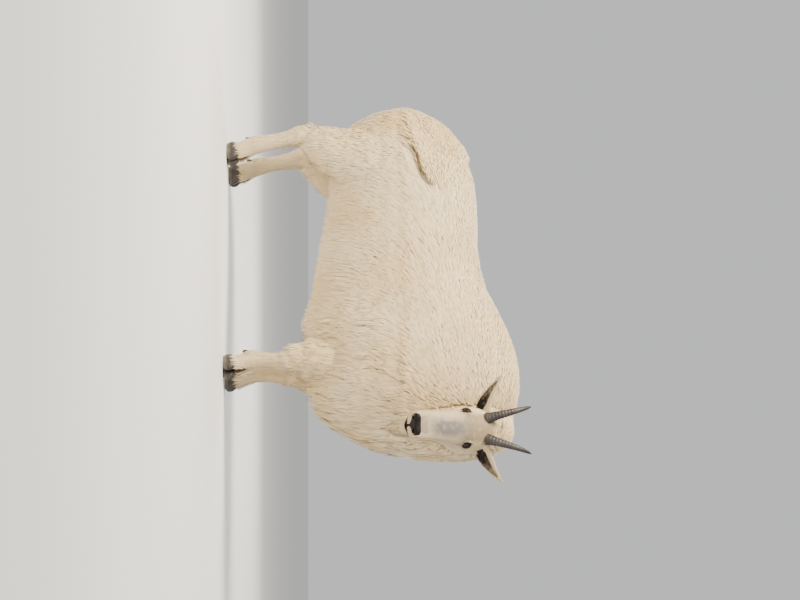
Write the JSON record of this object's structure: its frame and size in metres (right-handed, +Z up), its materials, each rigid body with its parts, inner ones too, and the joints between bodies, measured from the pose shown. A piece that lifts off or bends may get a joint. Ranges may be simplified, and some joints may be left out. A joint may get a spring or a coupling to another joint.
{
  "type": "mountain goat",
  "caption": "Life-size mountain goat standing square on its hooves, head turned to its right, with short swept-back horns, a beard and long hair on chest and forelegs",
  "frame": {"origin": "on the ground, under the middle of the bounding box", "axes": "+X ahead of the body, +Y to the animal's left, +Z up"},
  "size_m": [1.3482, 0.5322, 0.9697],
  "materials": {
    "coat": "dense cream-white hair",
    "leg_hair": "short cream hair",
    "face_hair": "short grey-white hair, tan on the forehead",
    "horn": "satin horn",
    "hoof": "worn horn",
    "eye": "wet and glossy",
    "nose": "bare moist skin"
  },
  "bodies": {
    "root": {"beard": "coat", "dewclaw_fore_left_inner": "hoof", "dewclaw_fore_left_outer": "hoof", "dewclaw_fore_right_inner": "hoof", "dewclaw_fore_right_outer": "hoof", "dewclaw_hind_left_inner": "hoof", "dewclaw_hind_left_outer": "hoof", "dewclaw_hind_right_inner": "hoof", "dewclaw_hind_right_outer": "hoof", "ear_left": "face_hair", "ear_right": "face_hair", "eye_left": "eye", "eye_right": "eye", "foreleg_left": "coat", "foreleg_right": "coat", "head": "face_hair", "hindleg_left": "coat", "hindleg_right": "coat", "hoof_fore_left_inner": "hoof", "hoof_fore_left_outer": "hoof", "hoof_fore_right_inner": "hoof", "hoof_fore_right_outer": "hoof", "hoof_hind_left_inner": "hoof", "hoof_hind_left_outer": "hoof", "hoof_hind_right_inner": "hoof", "hoof_hind_right_outer": "hoof", "horn_left": "horn", "horn_right": "horn", "neck": "coat", "nose_pad": "nose", "shank_fore_left": "leg_hair", "shank_fore_right": "leg_hair", "shank_hind_left": "leg_hair", "shank_hind_right": "leg_hair", "tail": "coat", "torso": "coat"}
  },
  "joints": []
}
